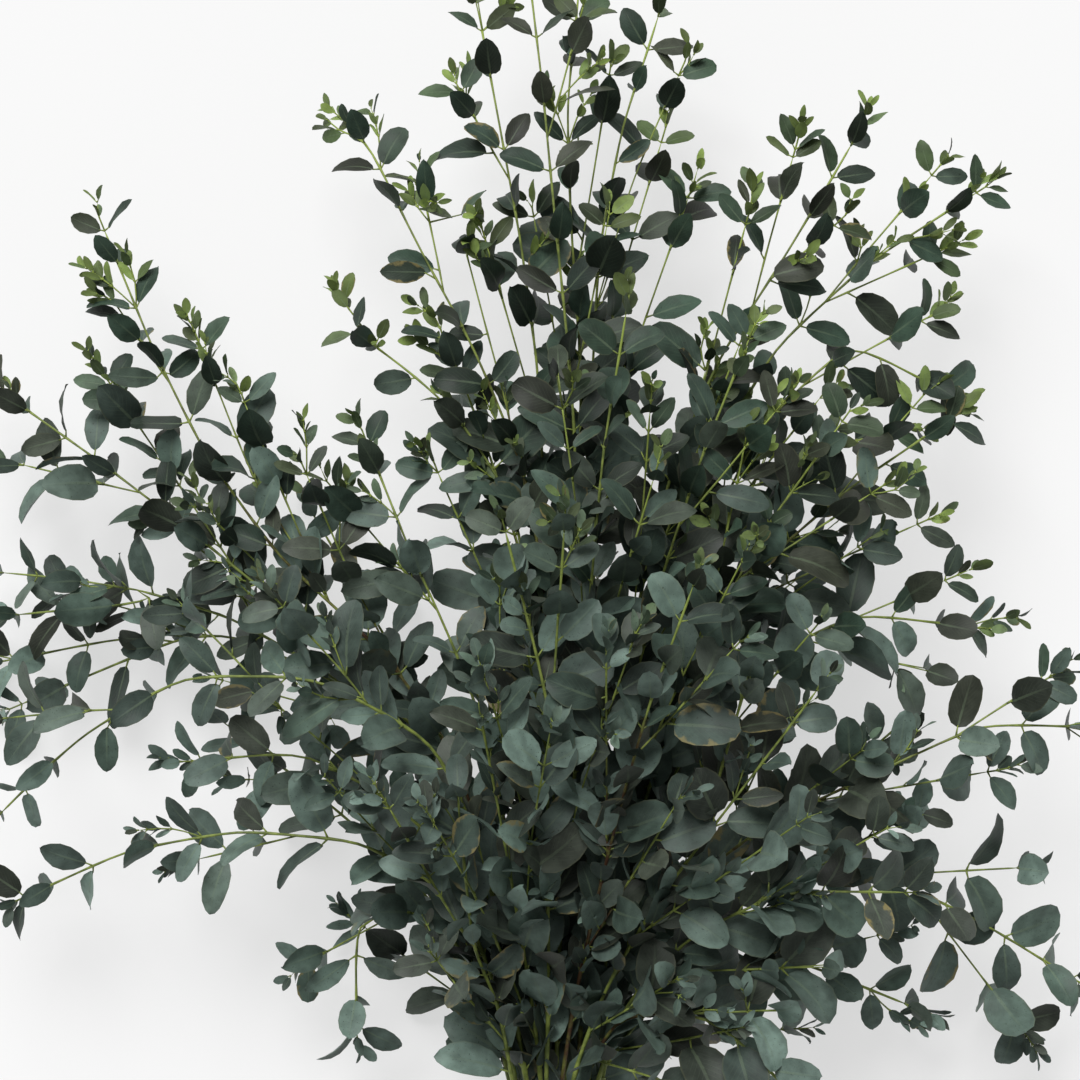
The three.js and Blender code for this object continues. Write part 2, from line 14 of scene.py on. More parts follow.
import bmesh
import bpy
from bpy.props import FloatProperty, FloatVectorProperty, IntProperty, PointerProperty
from mathutils import Matrix, Vector
from mathutils.kdtree import KDTree

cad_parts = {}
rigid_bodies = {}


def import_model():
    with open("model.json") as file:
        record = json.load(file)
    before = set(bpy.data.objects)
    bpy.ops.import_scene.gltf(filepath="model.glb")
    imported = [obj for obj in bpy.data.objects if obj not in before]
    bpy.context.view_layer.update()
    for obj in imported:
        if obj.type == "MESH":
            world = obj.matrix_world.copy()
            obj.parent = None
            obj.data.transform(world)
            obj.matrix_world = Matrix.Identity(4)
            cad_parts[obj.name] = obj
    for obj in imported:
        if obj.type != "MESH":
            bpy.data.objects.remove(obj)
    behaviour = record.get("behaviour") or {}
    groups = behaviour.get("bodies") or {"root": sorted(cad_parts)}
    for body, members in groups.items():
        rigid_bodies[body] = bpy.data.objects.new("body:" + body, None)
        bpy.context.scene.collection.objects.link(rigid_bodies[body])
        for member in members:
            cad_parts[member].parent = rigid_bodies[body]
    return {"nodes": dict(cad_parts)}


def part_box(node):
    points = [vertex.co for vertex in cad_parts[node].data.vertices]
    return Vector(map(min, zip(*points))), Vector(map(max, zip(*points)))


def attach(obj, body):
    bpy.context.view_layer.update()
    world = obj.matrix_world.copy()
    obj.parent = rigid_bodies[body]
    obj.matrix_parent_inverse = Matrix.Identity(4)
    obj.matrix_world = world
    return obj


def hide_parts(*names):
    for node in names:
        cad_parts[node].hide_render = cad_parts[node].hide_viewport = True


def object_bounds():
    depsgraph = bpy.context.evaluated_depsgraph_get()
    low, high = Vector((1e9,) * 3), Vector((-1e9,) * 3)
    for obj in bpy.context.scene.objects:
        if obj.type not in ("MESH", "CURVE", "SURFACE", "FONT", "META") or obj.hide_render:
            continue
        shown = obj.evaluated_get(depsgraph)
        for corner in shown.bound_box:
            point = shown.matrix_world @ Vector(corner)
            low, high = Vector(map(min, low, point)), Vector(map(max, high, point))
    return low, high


bl_info = {
    "name": "Bunch of eucalyptus",
    "version": (1, 0, 0),
    "blender": (4, 5, 0),
    "location": "View3D > Sidebar > Bunch",
    "description": "Stems, leaves, side shoots and rubber band of a bunch of eucalyptus",
    "category": "Add Mesh",
}

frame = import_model()
CAD_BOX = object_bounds()

MM = 0.001
UP = Vector((0, 0, 1))
TIE_NODE = "tie_band"
BRANCH_NODES = sorted(name for name in frame["nodes"] if name != TIE_NODE)

# ---------------------------------------------------------------- reading a CAD branch
WELD = 0.002 * MM  # the branch's triangles meet within this
RIM_FOLD = radians(150)  # a leaf's rim folds more sharply than a stem's three edges
LEAST_AHEAD = 1 * MM  # a rim with its tip nearer its middle is no leaf,
LEAST_RISE = 0.1 * MM  # nor is a flatter one
RING_CORNERS = 3  # of a plain cross-section
RING_EVENNESS = 1.35  # its furthest corner from the middle over its nearest, at most
RING_REACH = 5.5 * MM  # corners of one cross-section lie within this of each other
SMALL_LEAF = Record(at=0.52, half=0.5)  # a small CAD leaf has one corner on each side,
LARGE_LEAF = Record(at=0.72, half=0.43)  # and this is the outer one of a large leaf's two
SMALL_LEAF_CORNERS = 5  # along a small leaf's rim, with both ends


def merged_copy(name):
    """A bmesh of a CAD branch with its loose triangles joined."""
    bm = bmesh.new()
    bm.from_mesh(frame["nodes"][name].data)
    bmesh.ops.remove_doubles(bm, verts=bm.verts, dist=WELD)
    return bm


def rim_chains(bm):
    """Each leaf's rim as its corners in order, from the stem round the tip and back to the stem."""
    beside = {}
    for edge in bm.edges:
        if len(edge.link_faces) == 2 and edge.calc_face_angle_signed(0) > RIM_FOLD:
            a, b = edge.verts
            beside.setdefault(a, []).append(b)
            beside.setdefault(b, []).append(a)
    chains, seen = [], set()
    for end in [corner for corner, others in beside.items() if len(others) == 1]:
        if end in seen:
            continue
        chain, corner = [], end
        while corner is not None:
            chain.append(corner)
            seen.add(corner)
            corner = next((other for other in beside[corner] if other not in seen), None)
        if len(chain) > 2:
            chains.append(chain)
    return chains


def sharpness(chain, i):
    """The angle at a corner of a rim."""
    before, here, after = (chain[k].co for k in (i - 1, i, i + 1))
    return (before - here).angle(after - here)


def leaf_of(chain):
    """The leaf that a rim goes round: where it starts, how it points and faces, and its size."""
    i = min(range(1, len(chain) - 1), key=lambda k: sharpness(chain, k))
    tip, left, right = chain[i], chain[i - 1], chain[i + 1]
    outline = SMALL_LEAF if len(chain) <= SMALL_LEAF_CORNERS else LARGE_LEAF
    ridges = [edge.other_vert(tip) for edge in tip.link_edges]
    ridges = [corner for corner in ridges if corner not in chain]
    middle = (left.co + right.co) / 2
    if ridges:
        foot = max(ridges, key=lambda corner: (corner.co - tip.co).length)
        direction = (tip.co - foot.co).normalized()
    else:
        direction = (tip.co - middle).normalized()
    rise = tip.co - middle
    ahead = rise.dot(direction)
    normal = rise - ahead * direction
    if ahead < LEAST_AHEAD or normal.length < LEAST_RISE:
        return None
    length = ahead / (1 - outline.at)
    return Record(
        base=tip.co - length * direction,
        direction=direction,
        normal=normal.normalized(),
        length=length,
        width=(left.co - right.co).length / (2 * outline.half),
    )


class Groups:
    """Sets of items that are merged as they turn out to belong together."""

    def __init__(self, count):
        self.parent = list(range(count))

    def find(self, i):
        while self.parent[i] != i:
            self.parent[i] = self.parent[self.parent[i]]
            i = self.parent[i]
        return i

    def join(self, i, j):
        i, j = self.find(i), self.find(j)
        self.parent[i] = j
        return i != j


def stem_points(bm, leaf_corners):
    """The cross-sections of a branch's stems: the middle of each, its radius if it is a plain
    ring, and those it is tied to."""
    corners = [corner for corner in bm.verts if corner not in leaf_corners]
    near = KDTree(len(corners))
    for i, corner in enumerate(corners):
        near.insert(corner.co, i)
    near.balance()
    groups = Groups(len(corners))
    for i, corner in enumerate(corners):
        for _, j, _ in near.find_range(corner.co, RING_REACH):
            groups.join(i, j)
    members = {}
    for i in range(len(corners)):
        members.setdefault(groups.find(i), []).append(corners[i])
    numbers = {root: k for k, root in enumerate(members)}
    points = []
    for ring in members.values():
        middle = sum((corner.co for corner in ring), Vector()) / len(ring)
        reach = [(corner.co - middle).length for corner in ring]
        plain = len(ring) == RING_CORNERS and max(reach) < RING_EVENNESS * min(reach)
        radius = sum(reach) / RING_CORNERS if plain else None
        points.append(Record(co=middle, radius=radius, ties=[]))
    number_of = {corner: numbers[groups.find(i)] for i, corner in enumerate(corners)}
    pairs = set()
    for edge in bm.edges:
        if all(corner in number_of for corner in edge.verts):
            a, b = sorted(number_of[corner] for corner in edge.verts)
            if a != b:
                pairs.add((a, b))
    tree = Groups(len(points))
    for a, b in sorted(pairs, key=lambda pair: (points[pair[0]].co - points[pair[1]].co).length):
        if tree.join(a, b):
            points[a].ties.append(b)
            points[b].ties.append(a)
    return points


def routes_from(points):
    """The stems as lists of points: the longest way up first, then the longest out of each fork."""

    def gap(i, j):
        return (points[j].co - points[i].co).length

    start = min(range(len(points)), key=lambda i: points[i].co.y)
    parent, order = {start: None}, [start]
    for i in order:
        for j in points[i].ties:
            if j not in parent:
                parent[j] = i
                order.append(j)
    reach, onward = {}, {}
    for i in reversed(order):
        ways = [j for j in points[i].ties if parent.get(j) == i]
        best = max(ways, key=lambda j: reach[j] + gap(i, j), default=None)
        onward[i] = best
        reach[i] = 0 if best is None else reach[best] + gap(i, best)
    routes = []
    waiting = [(None, start)]
    while waiting:
        fork, i = waiting.pop(0)
        route = [] if fork is None else [fork]
        while i is not None:
            route.append(i)
            waiting += [(i, j) for j in points[i].ties if parent.get(j) == i and j != onward[i]]
            i = onward[i]
        if len(route) > 1:
            routes.append(route)
    return routes


# ---------------------------------------------------------------- planning what grows where
HUGGING = 240 * MM  # above the bare stems, how far up leaves lie along them
LEAF_GROWTH = 1.18  # a rounded leaf's length over its CAD solid's,
TIP_SHRINK = 0.12  # less this at the tips
SLIMMING = 0.22  # how much narrower leaves are near the tips and on the left,
SLIM_LEFT = (-50 * MM, 120 * MM)  # from none to all of it this far left
BLEMISHED = 0.07  # share of the leaves with a scorched rim
SPLAY = (0.45, 1.15)  # angles, in radians, that added leaves lean away from their stem
FACING = (0.2, 0.95)  # how far they turn their face to the light
SLIMNESS = (0.37, 0.62)  # their width over their length
SPRIG_SPLAY = (0.3, 0.85)
SPRIG_SLIMNESS = (0.3, 0.52)
TWIST = 0.45  # radians either way, about their length
FARTHEST_MOVE = 8 * MM  # a leaf goes with its eased stem up to this
CORES = (  # where leaves crowd, seen from above
    Record(middle=(0.055, -0.1), reach=(0.165, 0.265)),
    Record(middle=(-0.19, 0.075), reach=(0.11, 0.11)),
)
SHORTEST_ROUTE = 25 * MM  # anything shorter is the foot of a leaf
THIN_STEM = 0.9 * MM  # radius of a stem that has no plain ring
STEM_STEP = 9 * MM  # between the places of a stem's curve,
SPRIG_STEP = 7 * MM  # and of a small shoot's
SPRIG_RADIUS = 0.8 * MM
SPRIG_ROOM = 5 * MM  # least distance between the middles of its leaves
LEAF_MIDDLE = 0.6  # of the way from a leaf's base to its tip
WIDEST = 0.74  # of a leaf's length
CLEAR = 1.5 * MM  # an added leaf's least height over the floor
PAST_BOX, PAST_BOX_UP = 8 * MM, 4 * MM  # how far an added leaf may pass the CAD box,
SPRIG_PAST_BOX = 4 * MM  # and a small shoot
LEVEL_STEPS = 2  # rounds of easing a stem's bends
EASE = 0.3


def straighten(points, routes):
    """Puts forks and leaf feet on the line between the plain rings either side of them."""
    for route in routes:
        rings = [k for k, i in enumerate(route) if points[i].radius is not None]
        for k, i in enumerate(route):
            before, after = [r for r in rings if r < k], [r for r in rings if r > k]
            if not k or k in rings or not before or not after:
                continue
            a, b = points[route[before[-1]]].co, points[route[after[0]]].co
            along = b - a
            points[i].co = a + along * ((points[i].co - a).dot(along) / along.length_squared)


def ease(points, routes):
    """Rounds the bends of each stem, its ends held."""
    for route in routes:
        for _ in range(LEVEL_STEPS):
            moved = [
                points[b].co.lerp((points[a].co + points[c].co) / 2, EASE)
                for a, b, c in zip(route, route[1:], route[2:])
            ]
            for i, co in zip(route[1:-1], moved):
                points[i].co = co


def radii_along(points, route, is_shoot):
    """The radius at each point of a stem, filled in between its plain rings."""
    places = [0.0]
    for a, b in zip(route, route[1:]):
        places.append(places[-1] + (points[b].co - points[a].co).length)
    known = [
        (place, points[i].radius)
        for k, (place, i) in enumerate(zip(places, route))
        if points[i].radius is not None and not (is_shoot and k == 0)
    ] or [(0.0, THIN_STEM)]
    radii = []
    for place in places:
        low = max((item for item in known if item[0] <= place), default=known[0])
        high = min((item for item in known if item[0] >= place), default=known[-1])
        span = high[0] - low[0]
        share = 0 if span < 1e-9 else (place - low[0]) / span
        radii.append(low[1] + share * (high[1] - low[1]))
    return radii


def through(points, radii, step):
    """A smooth curve through the points, as a list of (place, radius) about one step apart."""
    curve = []
    for k in range(len(points) - 1):
        p0, p1, p2, p3 = (points[max(0, min(len(points) - 1, k + d))] for d in (-1, 0, 1, 2))
        count = max(1, round((p2 - p1).length / step))
        for n in range(count):
            t = n / count
            co = 0.5 * (
                2 * p1
                + (p2 - p0) * t
                + (2 * p0 - 5 * p1 + 4 * p2 - p3) * t**2
                + (3 * p1 - p0 - 3 * p2 + p3) * t**3
            )
            curve.append((co, radii[k] + t * (radii[k + 1] - radii[k])))
    curve.append((points[-1].copy(), radii[-1]))
    return curve


class Crowd:
    """Where the leaves' middles are, so that another isn't put on top of one."""

    CELL = 12 * MM

    def __init__(self):
        self.cells = {}

    def cell(self, co):
        return tuple(math.floor(x / self.CELL) for x in co)

    def add(self, co):
        self.cells.setdefault(self.cell(co), []).append(co)

    def is_free(self, co, reach):
        x, y, z = self.cell(co)
        near = (-1, 0, 1)
        around = [(x + i, y + j, z + k) for i in near for j in near for k in near]
        others = [other for cell in around for other in self.cells.get(cell, ())]
        return all((other - co).length > reach for other in others)


def clamp(value):
    return max(0.0, min(1.0, value))


def rise_over(value, start, end):
    """0 below start, 1 above end, and smooth between."""
    share = clamp((value - start) / (end - start))
    return share * share * (3 - 2 * share)


def across_from(direction, about):
    """A unit vector square to direction, nearest to about."""
    flat = about - direction * about.dot(direction)
    return flat.normalized() if flat.length > 1e-6 else direction.orthogonal().normalized()


def posed_leaf(root, base, along, outward, splay, facing, twist, length, width):
    """A leaf that leans away from its stem and turns its face part of the way to the light."""
    direction = along * math.cos(splay) + outward * math.sin(splay)
    inner = along * math.sin(splay) - outward * math.cos(splay)
    normal = across_from(direction, inner.lerp(across_from(direction, UP), facing))
    normal.rotate(Matrix.Rotation(twist, 3, direction))
    return Record(
        root=root, base=base, direction=direction, normal=normal, length=length, width=width
    )


def is_clear(leaf):
    """Whether an added leaf stands over the floor."""
    half = 0.5 * leaf.width * leaf.direction.cross(leaf.normal)
    middle = leaf.base + 0.5 * leaf.length * leaf.direction
    ends = [leaf.base, leaf.base + leaf.length * leaf.direction, middle + half, middle - half]
    return min(end.z for end in ends) > CLEAR


def is_inside(co, past):
    """Whether a place is this little past the CAD box's sides."""
    low, high = CAD_BOX
    return all(a - past < x < b + past for a, x, b in zip(low[:2], co[:2], high[:2]))


def is_in_reach(leaf):
    """Whether an added leaf keeps to the CAD model's size."""
    tip = leaf.base + leaf.length * leaf.direction
    return is_inside(tip, PAST_BOX) and tip.z < CAD_BOX[1].z + PAST_BOX_UP


def read_branch(name):
    """A branch's stems as smooth curves, and the leaves that its CAD node has."""
    bm = merged_copy(name)
    chains = rim_chains(bm)
    corners = {corner for chain in chains for corner in chain[1:-1]}
    leaves = [leaf for leaf in map(leaf_of, chains) if leaf]
    points = stem_points(bm, corners)
    bm.free()
    for point in points:
        point.was = point.co.copy()
    routes = routes_from(points)
    straighten(points, routes)
    ease(points, routes)
    stems = []
    for k, route in enumerate(routes):
        length = sum((points[a].co - points[b].co).length for a, b in zip(route, route[1:]))
        if k and length < SHORTEST_ROUTE:
            continue
        radii = radii_along(points, route, bool(k))
        nodes = [points[i].co for i in route]
        curve = through(nodes, radii, STEM_STEP)
        stems.append(Record(is_shoot=bool(k), curve=curve))
    for leaf in leaves:
        nearest = min(points, key=lambda point: (point.was - leaf.base).length)
        moved = nearest.co - nearest.was
        if moved.length < FARTHEST_MOVE:
            leaf.base = leaf.base + moved
        growth = LEAF_GROWTH - TIP_SHRINK * light_share(leaf.base)
        leaf.length *= growth
        leftward = rise_over(-leaf.base.x, *SLIM_LEFT)
        slimmer = 1 - SLIMMING * max(light_share(leaf.base), leftward)
        leaf.width = slimmer * min(growth * leaf.width, WIDEST * leaf.length)
    return Record(name=name, stems=stems, leaves=leaves)


def middle_of(leaf):
    """Where a leaf counts in the crowd."""
    return leaf.base + LEAF_MIDDLE * leaf.length * leaf.direction


def place_on_stem(branch, leaf):
    """Ties a leaf to the nearest place of the branch's stems."""
    best = None
    for stem in branch.stems:
        for k, (co, _) in enumerate(stem.curve):
            gap = (co - leaf.base).length
            if best is None or gap < best[0]:
                best = (gap, stem, k)
    _, leaf.stem, leaf.place = best
    leaf.root = leaf.stem.curve[leaf.place][0].copy()


def bunch():
    """Every branch with all that grows on it."""
    looks = bpy.context.scene.bunch_growth
    branches = [read_branch(name) for name in BRANCH_NODES]
    crowd = Crowd()
    for branch in branches:
        for leaf in branch.leaves:
            place_on_stem(branch, leaf)
            crowd.add(middle_of(leaf))
    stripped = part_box(TIE_NODE)[1].y + looks.stripped
    for branch in branches:
        rng = random.Random("leaves of " + branch.name)
        fill_stems(branch, crowd, stripped, looks, rng)
        branch.sprigs = []
        grow_sprigs(branch, crowd, stripped, looks, rng)
        for leaf in branch.leaves:
            mark(leaf, rng)
    return branches


def light_share(co):
    """How far up the bunch a place is, from 0 at its low shaded parts to 1 at its sunlit tops."""
    low, high = CAD_BOX
    upward = (co.y - low.y) / (high.y - low.y)
    rightward = (co.x - low.x) / (high.x - low.x)
    return rise_over(upward + 0.15 * rightward, 0.42, 0.92)


def fullness(co):
    """How crowded the bunch is at a place: 1 in its middle and 0 at its open edges."""
    nearest = min(
        math.hypot(*((a - b) / c for a, b, c in zip(co, core.middle, core.reach)))
        for core in CORES
    )
    return 1 - 0.95 * rise_over(nearest, 0.7, 1.2)


def mark(leaf, rng):
    """How young, waxy, light and blemished a leaf is, each from 0 to 1."""
    to_tip = (len(leaf.stem.curve) - 1 - leaf.place) * STEM_STEP
    sun = light_share(leaf.base)
    small = 1 - rise_over(leaf.length, 10 * MM, 30 * MM)
    tipward = 1 - rise_over(to_tip, 15 * MM, 90 * MM)
    fresh = (0.1 + 0.35 * sun) * tipward * (0.3 + 0.7 * small) * rng.uniform(0.1, 1.1)
    leaf.youth = clamp(fresh + 0.75 * sun * small * rng.random())
    leaf.wax = clamp(0.75 - 0.75 * sun + rng.uniform(-0.35, 0.3))
    leaf.tone = rng.random()
    leaf.blemish = rng.uniform(0.4, 1) if rng.random() < BLEMISHED else rng.uniform(0, 0.15)


def stem_direction(curve, k):
    """The way a curve runs at one of its places."""
    a, b = curve[max(0, k - 1)][0], curve[min(len(curve) - 1, k + 1)][0]
    return (b - a).normalized()


def leaf_pair(stem, k, azimuth, length, rng, splay, facing, slimness=SLIMNESS):
    """Two opposite leaves at a place on a stem."""
    co, radius = stem.curve[k]
    along = stem_direction(stem.curve, k)
    side = along.orthogonal().normalized()
    side.rotate(Matrix.Rotation(azimuth, 3, along))
    pair = []
    for sign in (1, -1):
        outward = sign * side
        size = length * rng.uniform(0.85, 1.12)
        leaf = posed_leaf(
            co.copy(),
            co + 0.5 * radius * outward,
            along,
            outward,
            rng.uniform(*splay),
            rng.uniform(*facing),
            rng.uniform(-TWIST, TWIST),
            size,
            size * rng.uniform(*slimness),
        )
        leaf.stem, leaf.place = stem, k
        pair.append(leaf)
    return pair


def keep_free(leaves, crowd, reach):
    """The leaves of a pair that have room, now counted in the crowd."""
    kept = []
    for leaf in leaves:
        middle = middle_of(leaf)
        if is_clear(leaf) and is_in_reach(leaf) and crowd.is_free(middle, reach):
            crowd.add(middle)
            kept.append(leaf)
    return kept


def fill_stems(branch, crowd, stripped, looks, rng):
    """Adds the smaller pairs of leaves that stand between the ones of the CAD node."""
    for stem in branch.stems:
        taken = [leaf.place for leaf in branch.leaves if leaf.stem is stem]
        pitch = max(1, round(looks.pair_pitch / STEM_STEP))
        azimuth = rng.uniform(0, math.pi)
        k = rng.randint(1, pitch)
        while k < len(stem.curve) - 1:
            azimuth += math.pi / 2 + rng.uniform(-0.3, 0.3)
            co = stem.curve[k][0]
            close = any(abs(k - other) * STEM_STEP < looks.pair_gap for other in taken)
            wanted = rng.random() < fullness(co)
            if wanted and not close and co.y > stripped + rng.uniform(-0.5, 1) * 40 * MM:
                share = k / len(stem.curve)
                length = looks.filler_length * (1 - 0.35 * share**2) * rng.uniform(0.6, 1.15)
                hug = 1 - rise_over(co.y, stripped + 30 * MM, stripped + HUGGING)
                splay = (SPLAY[0] - 0.3 * hug, SPLAY[1] - 0.5 * hug)
                facing = (FACING[0] - 0.5 * hug, FACING[1] - 0.35 * hug)
                pair = leaf_pair(stem, k, azimuth, length, rng, splay, facing)
                branch.leaves += keep_free(pair, crowd, looks.leaf_room)
            k += pitch + rng.choice((-1, 0, 0, 1))


def grow_sprigs(branch, crowd, stripped, looks, rng):
    """Short side shoots in the leaf axils and one on each tip, with a few small young leaves."""
    starts = []
    for leaf in list(branch.leaves):
        if rng.random() < looks.sprig_share * (0.35 + 0.65 * light_share(leaf.base)):
            along = stem_direction(leaf.stem.curve, leaf.place)
            starts.append((leaf.root, (along + 0.75 * leaf.direction).normalized(), False))
    for stem in branch.stems:
        last = len(stem.curve) - 1
        starts.append((stem.curve[last][0], stem_direction(stem.curve, last), True))
    for root, direction, is_tip in starts:
        if root.y < stripped + 30 * MM:
            continue
        length = looks.sprig_length * rng.uniform(0.45, 1.2) * (0.6 if is_tip else 1)
        bend = Vector([rng.uniform(-0.25, 0.25) for _ in range(3)]) + 0.15 * UP
        end = root + length * (direction + bend).normalized()
        past = SPRIG_PAST_BOX
        if not is_inside(end, past) or not past <= end.z < CAD_BOX[1].z + past:
            continue
        nodes = [root.copy(), root + 0.5 * length * direction, end]
        radii = [size * SPRIG_RADIUS for size in (1, 0.8, 0.6)]
        sprig = Record(is_shoot=True, curve=through(nodes, radii, SPRIG_STEP))
        azimuth = rng.uniform(0, math.pi)
        count = len(sprig.curve)
        grown = []
        for k in range(1 if is_tip else max(1, count // 2), count):
            azimuth += math.pi / 2
            size = looks.sprig_leaf * (1.1 - 0.6 * k / count) * rng.uniform(0.7, 1.2)
            pair = leaf_pair(sprig, k, azimuth, size, rng, SPRIG_SPLAY, FACING, SPRIG_SLIMNESS)
            grown += keep_free(pair, crowd, SPRIG_ROOM)
        if grown:
            branch.sprigs.append(sprig)
            branch.leaves += grown


# ---------------------------------------------------------------- leaf and stalk shapes
LEAF_SHAPES = {  # outline: how soon it is widest, and how pointed it is
    "round": (0.98, 0.84),
    "oval": (1.0, 0.98),
    "slim": (0.96, 1.34),
}
ATTRIBUTES = ("youth", "wax", "tone", "blemish")
BLADE_THICKNESS = 0.016  # at the rib, over the blade's length
RIM_ANGLE = radians(100)  # a blade's edge is sharp where its faces turn by more
LARGE_BLADE, SMALL_BLADE = (4, 7, 6), (2, 6, 4)  # columns, rows, and how many are made
LARGE_FROM = 26 * MM
KINDS = (("round", 0.6), ("oval", 0.51), ("slim", 0.0))  # and each's least width over length


def only(kind, items):
    """The items of one of bmesh's types."""
    return [item for item in items if isinstance(item, kind)]


def edges_of(verts):
    return list({edge for vert in verts for edge in vert.link_edges})


def mesh_from(bm, name):
    """The mesh of a finished bmesh."""
    mesh = bpy.data.meshes.new(name)
    bm.to_mesh(mesh)
    bm.free()
    return mesh


def shape_leaf(kind, columns, rows, seed):
    """A leaf blade one unit long and one wide, from its foot at the origin to its tip at +Y.

    It is a grid laid over a second one, closed along its rim, folded at the rib and arched.
    """
    rng = random.Random(f"{kind} {columns} {seed}")
    widest, pointed = LEAF_SHAPES[kind]
    fold = rng.uniform(0.04, 0.26)
    arch = rng.uniform(-0.05, 0.14)
    hook = rng.uniform(0, 0.12)
    sway = rng.uniform(-0.05, 0.05)
    wave, phase = rng.uniform(0.01, 0.035), rng.uniform(0, 6.28)
    bm = grown_on("across", "along", *ATTRIBUTES)
    across, along = (bm.verts.layers.float[name] for name in ("across", "along"))
    bmesh.ops.create_grid(bm, x_segments=columns, y_segments=rows, size=0.5)
    for vert in bm.verts:
        vert[across] = 2 * vert.co.x
        vert[along] = (1 - math.cos(math.pi * (vert.co.y + 0.5) ** widest)) / 2
    under = bmesh.ops.duplicate(bm, geom=bm.verts[:] + bm.edges[:] + bm.faces[:])["geom"]
    below = set(only(bmesh.types.BMVert, under))
    bmesh.ops.reverse_faces(bm, faces=only(bmesh.types.BMFace, under))
    for vert in bm.verts:
        u, v = vert[across], vert[along]
        half = 0.5 * math.sqrt(max(0.0, 1 - (2 * v - 1) ** 2)) ** pointed
        thick = BLADE_THICKNESS * (1 - abs(u)) * (1 - 0.5 * v) if 0 < v < 1 else 0.0
        lift = (
            fold * abs(u) * half
            + arch * 4 * v * (1 - v) * 0.5
            - hook * v**3
            + wave * u * math.sin(phase + 7 * v)
        )
        vert.co = Vector((u * half + sway * v * v, v, lift - (thick if vert in below else 0)))
    bmesh.ops.remove_doubles(bm, verts=bm.verts, dist=1e-5)
    bmesh.ops.recalc_face_normals(bm, faces=bm.faces)
    uv = bm.loops.layers.uv.new("leaf")
    for face in bm.faces:
        face.smooth = True
        for loop in face.loops:
            loop[uv].uv = (0.5 + 0.5 * loop.vert[across], loop.vert[along])
    for edge in bm.edges:
        edge.smooth = edge.calc_face_angle(0) < RIM_ANGLE
    return mesh_from(bm, f"{kind}_{columns}_{seed}")


def leaf_shapes():
    """The leaf blades that are repeated: full ones for large leaves, plainer ones for small."""
    return {
        (kind, is_large): [shape_leaf(kind, columns, rows, seed) for seed in range(count)]
        for kind in LEAF_SHAPES
        for is_large, (columns, rows, count) in ((True, LARGE_BLADE), (False, SMALL_BLADE))
    }


def stalk_shape():
    """A leaf stalk one unit long up +Y and one in radius, closed and a little bent."""
    bm = bmesh.new()
    ring = bmesh.ops.create_circle(bm, cap_ends=True, segments=5, radius=1)["verts"]
    upright = Matrix.Rotation(radians(-90), 3, "X")
    bmesh.ops.rotate(bm, verts=ring, cent=(0, 0, 0), matrix=upright)
    for move, size in (((0, 0.5, -0.06), 0.72), ((0, 0.5, 0.06), 0.8)):
        edges = [edge for edge in bm.edges if set(edge.verts) <= set(ring)]
        made = bmesh.ops.extrude_edge_only(bm, edges=edges)["geom"]
        ring = only(bmesh.types.BMVert, made)
        bmesh.ops.translate(bm, verts=ring, vec=move)
        middle = sum((vert.co for vert in ring), Vector()) / len(ring)
        bmesh.ops.scale(bm, verts=ring, vec=(size, 1, size), space=Matrix.Translation(-middle))
    bmesh.ops.edgeloop_fill(bm, edges=[edge for edge in bm.edges if edge.is_boundary])
    bmesh.ops.recalc_face_normals(bm, faces=bm.faces)
    for face in bm.faces:
        face.smooth = True
    return mesh_from(bm, "stalk")


def turned(side, direction, normal, at):
    """The matrix that carries X, Y and Z to these three vectors and the origin to a place."""
    turn = Matrix((side, direction, normal)).transposed().to_4x4()
    return Matrix.Translation(at) @ turn


def grown_on(*names):
    """A new bmesh with these attributes."""
    bm = bmesh.new()
    for name in names:
        bm.verts.layers.float.new(name)
    return bm


def give(bm, verts, values):
    """Sets attributes of some corners."""
    for name, value in values.items():
        layer = bm.verts.layers.float[name]
        for vert in verts:
            vert[layer] = value


def put(bm, shape, matrix, values):
    """Adds a copy of a shape, moved by matrix and clear of the floor, with its values."""
    known = len(bm.verts)
    bm.from_mesh(shape)
    bm.verts.ensure_lookup_table()
    added = bm.verts[known:]
    bmesh.ops.transform(bm, matrix=matrix, verts=added)
    dip = min(vert.co.z for vert in added)
    if dip < 0:
        bmesh.ops.translate(bm, verts=added, vec=(0, 0, -dip))
    give(bm, added, values)


def object_from(bm, name, *materials):
    """Puts the object of a finished bmesh in the scene."""
    mesh = mesh_from(bm, name)
    for material in materials:
        mesh.materials.append(material)
    made = bpy.data.objects.new(name, mesh)
    bpy.context.scene.collection.objects.link(made)
    return made


def piece_from(bm, name, nodes, slot, *materials):
    """Makes a finished piece of a bmesh, riding on the frame."""
    piece = object_from(bm, name, *materials)
    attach(piece, "root")
    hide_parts(*nodes)
    return piece


